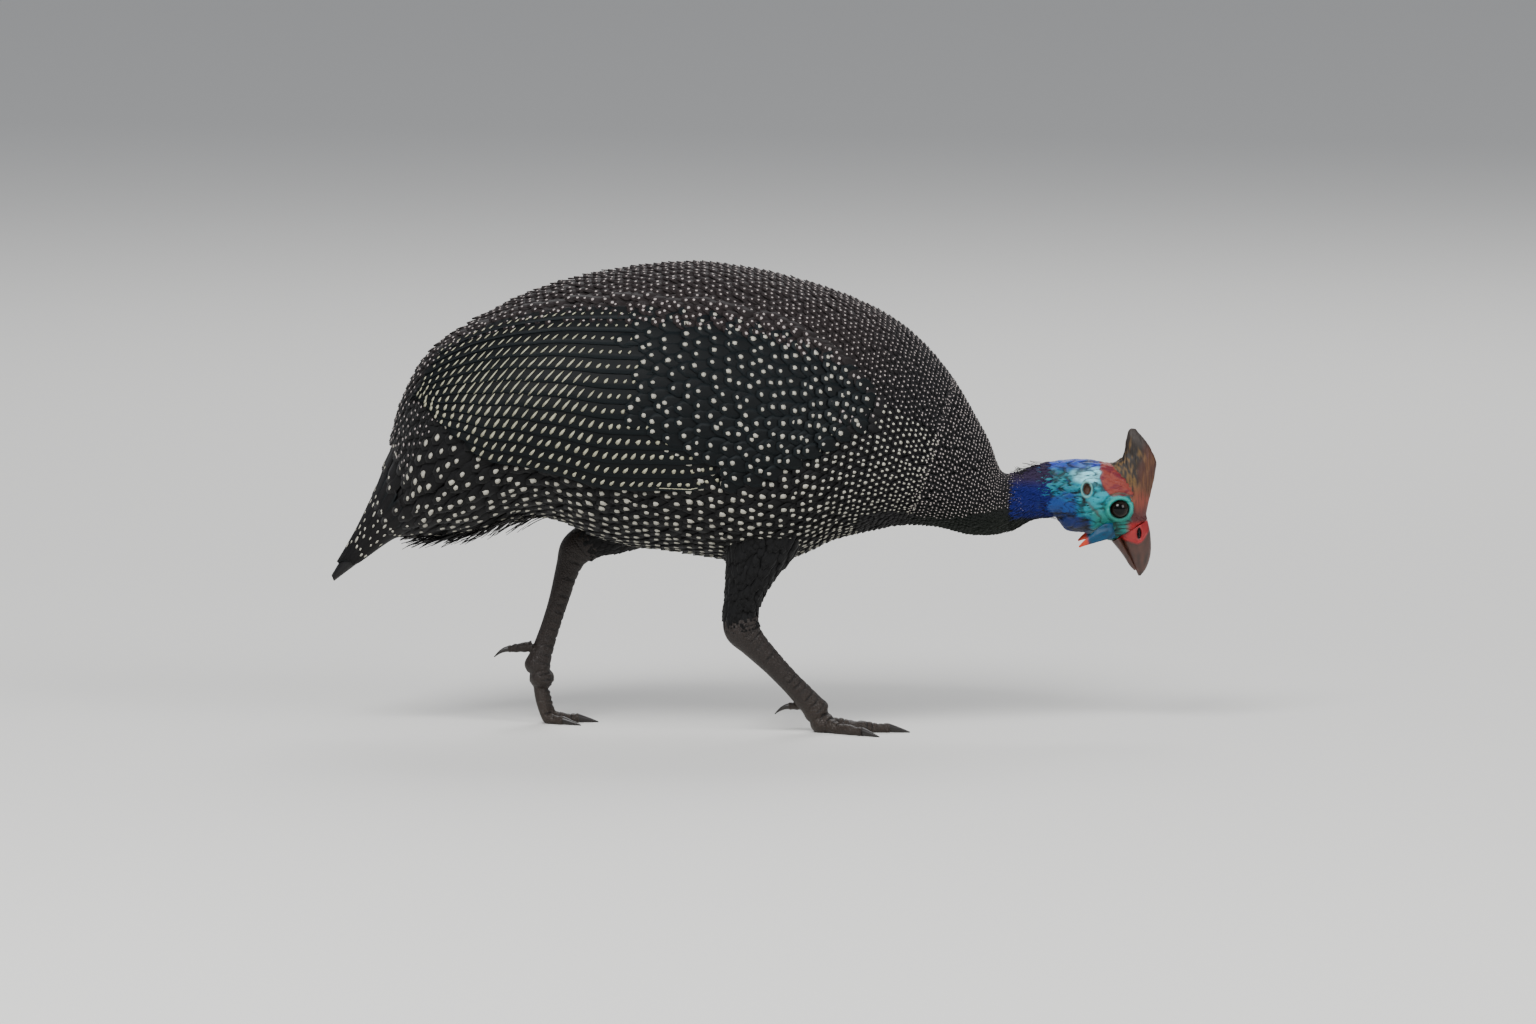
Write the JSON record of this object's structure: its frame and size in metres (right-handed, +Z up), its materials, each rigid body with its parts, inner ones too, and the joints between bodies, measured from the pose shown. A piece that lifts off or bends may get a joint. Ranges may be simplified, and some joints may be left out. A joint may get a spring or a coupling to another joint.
{
  "type": "guinea fowl",
  "caption": "Life-size helmeted guinea fowl walking with its head lowered to feed, a still display model with folded wings, drooping tail, bony casque and wattles.",
  "frame": {"origin": "middle of the model's box in plan, on the floor that the toes rest on", "axes": "+X is the way the bird walks, +Y is the bird's left, +Z is up"},
  "size_m": [0.5134, 0.172, 0.2908],
  "materials": {
    "plumage": "matt feather, near black with white spots",
    "blue_skin": "bare wrinkled skin, turquoise and blue",
    "casque_horn": "dull brown horn",
    "bill_horn": "horn, red at the root and grey-brown at the tip",
    "wattle_skin": "bare skin, blue with a red tip",
    "eye": "wet, dark brown",
    "leg_scale": "dull dark scales",
    "claw": "worn dark horn"
  },
  "bodies": {
    "root": {"torso": "plumage", "tail": "plumage", "neck_feathered": "plumage", "wing_left": "plumage", "wing_right": "plumage", "thigh_left": "plumage", "thigh_right": "plumage", "neck_bare": "blue_skin", "head": "blue_skin", "casque": "casque_horn", "bill_upper": "bill_horn", "bill_lower": "bill_horn", "wattle_left": "wattle_skin", "wattle_right": "wattle_skin", "eye_left": "eye", "eye_right": "eye", "shank_left": "leg_scale", "shank_right": "leg_scale", "foot_left": "leg_scale", "foot_right": "leg_scale", "claw_left_inner": "claw", "claw_left_middle": "claw", "claw_left_outer": "claw", "claw_left_hind": "claw", "claw_right_inner": "claw", "claw_right_middle": "claw", "claw_right_outer": "claw", "claw_right_hind": "claw"}
  },
  "joints": []
}
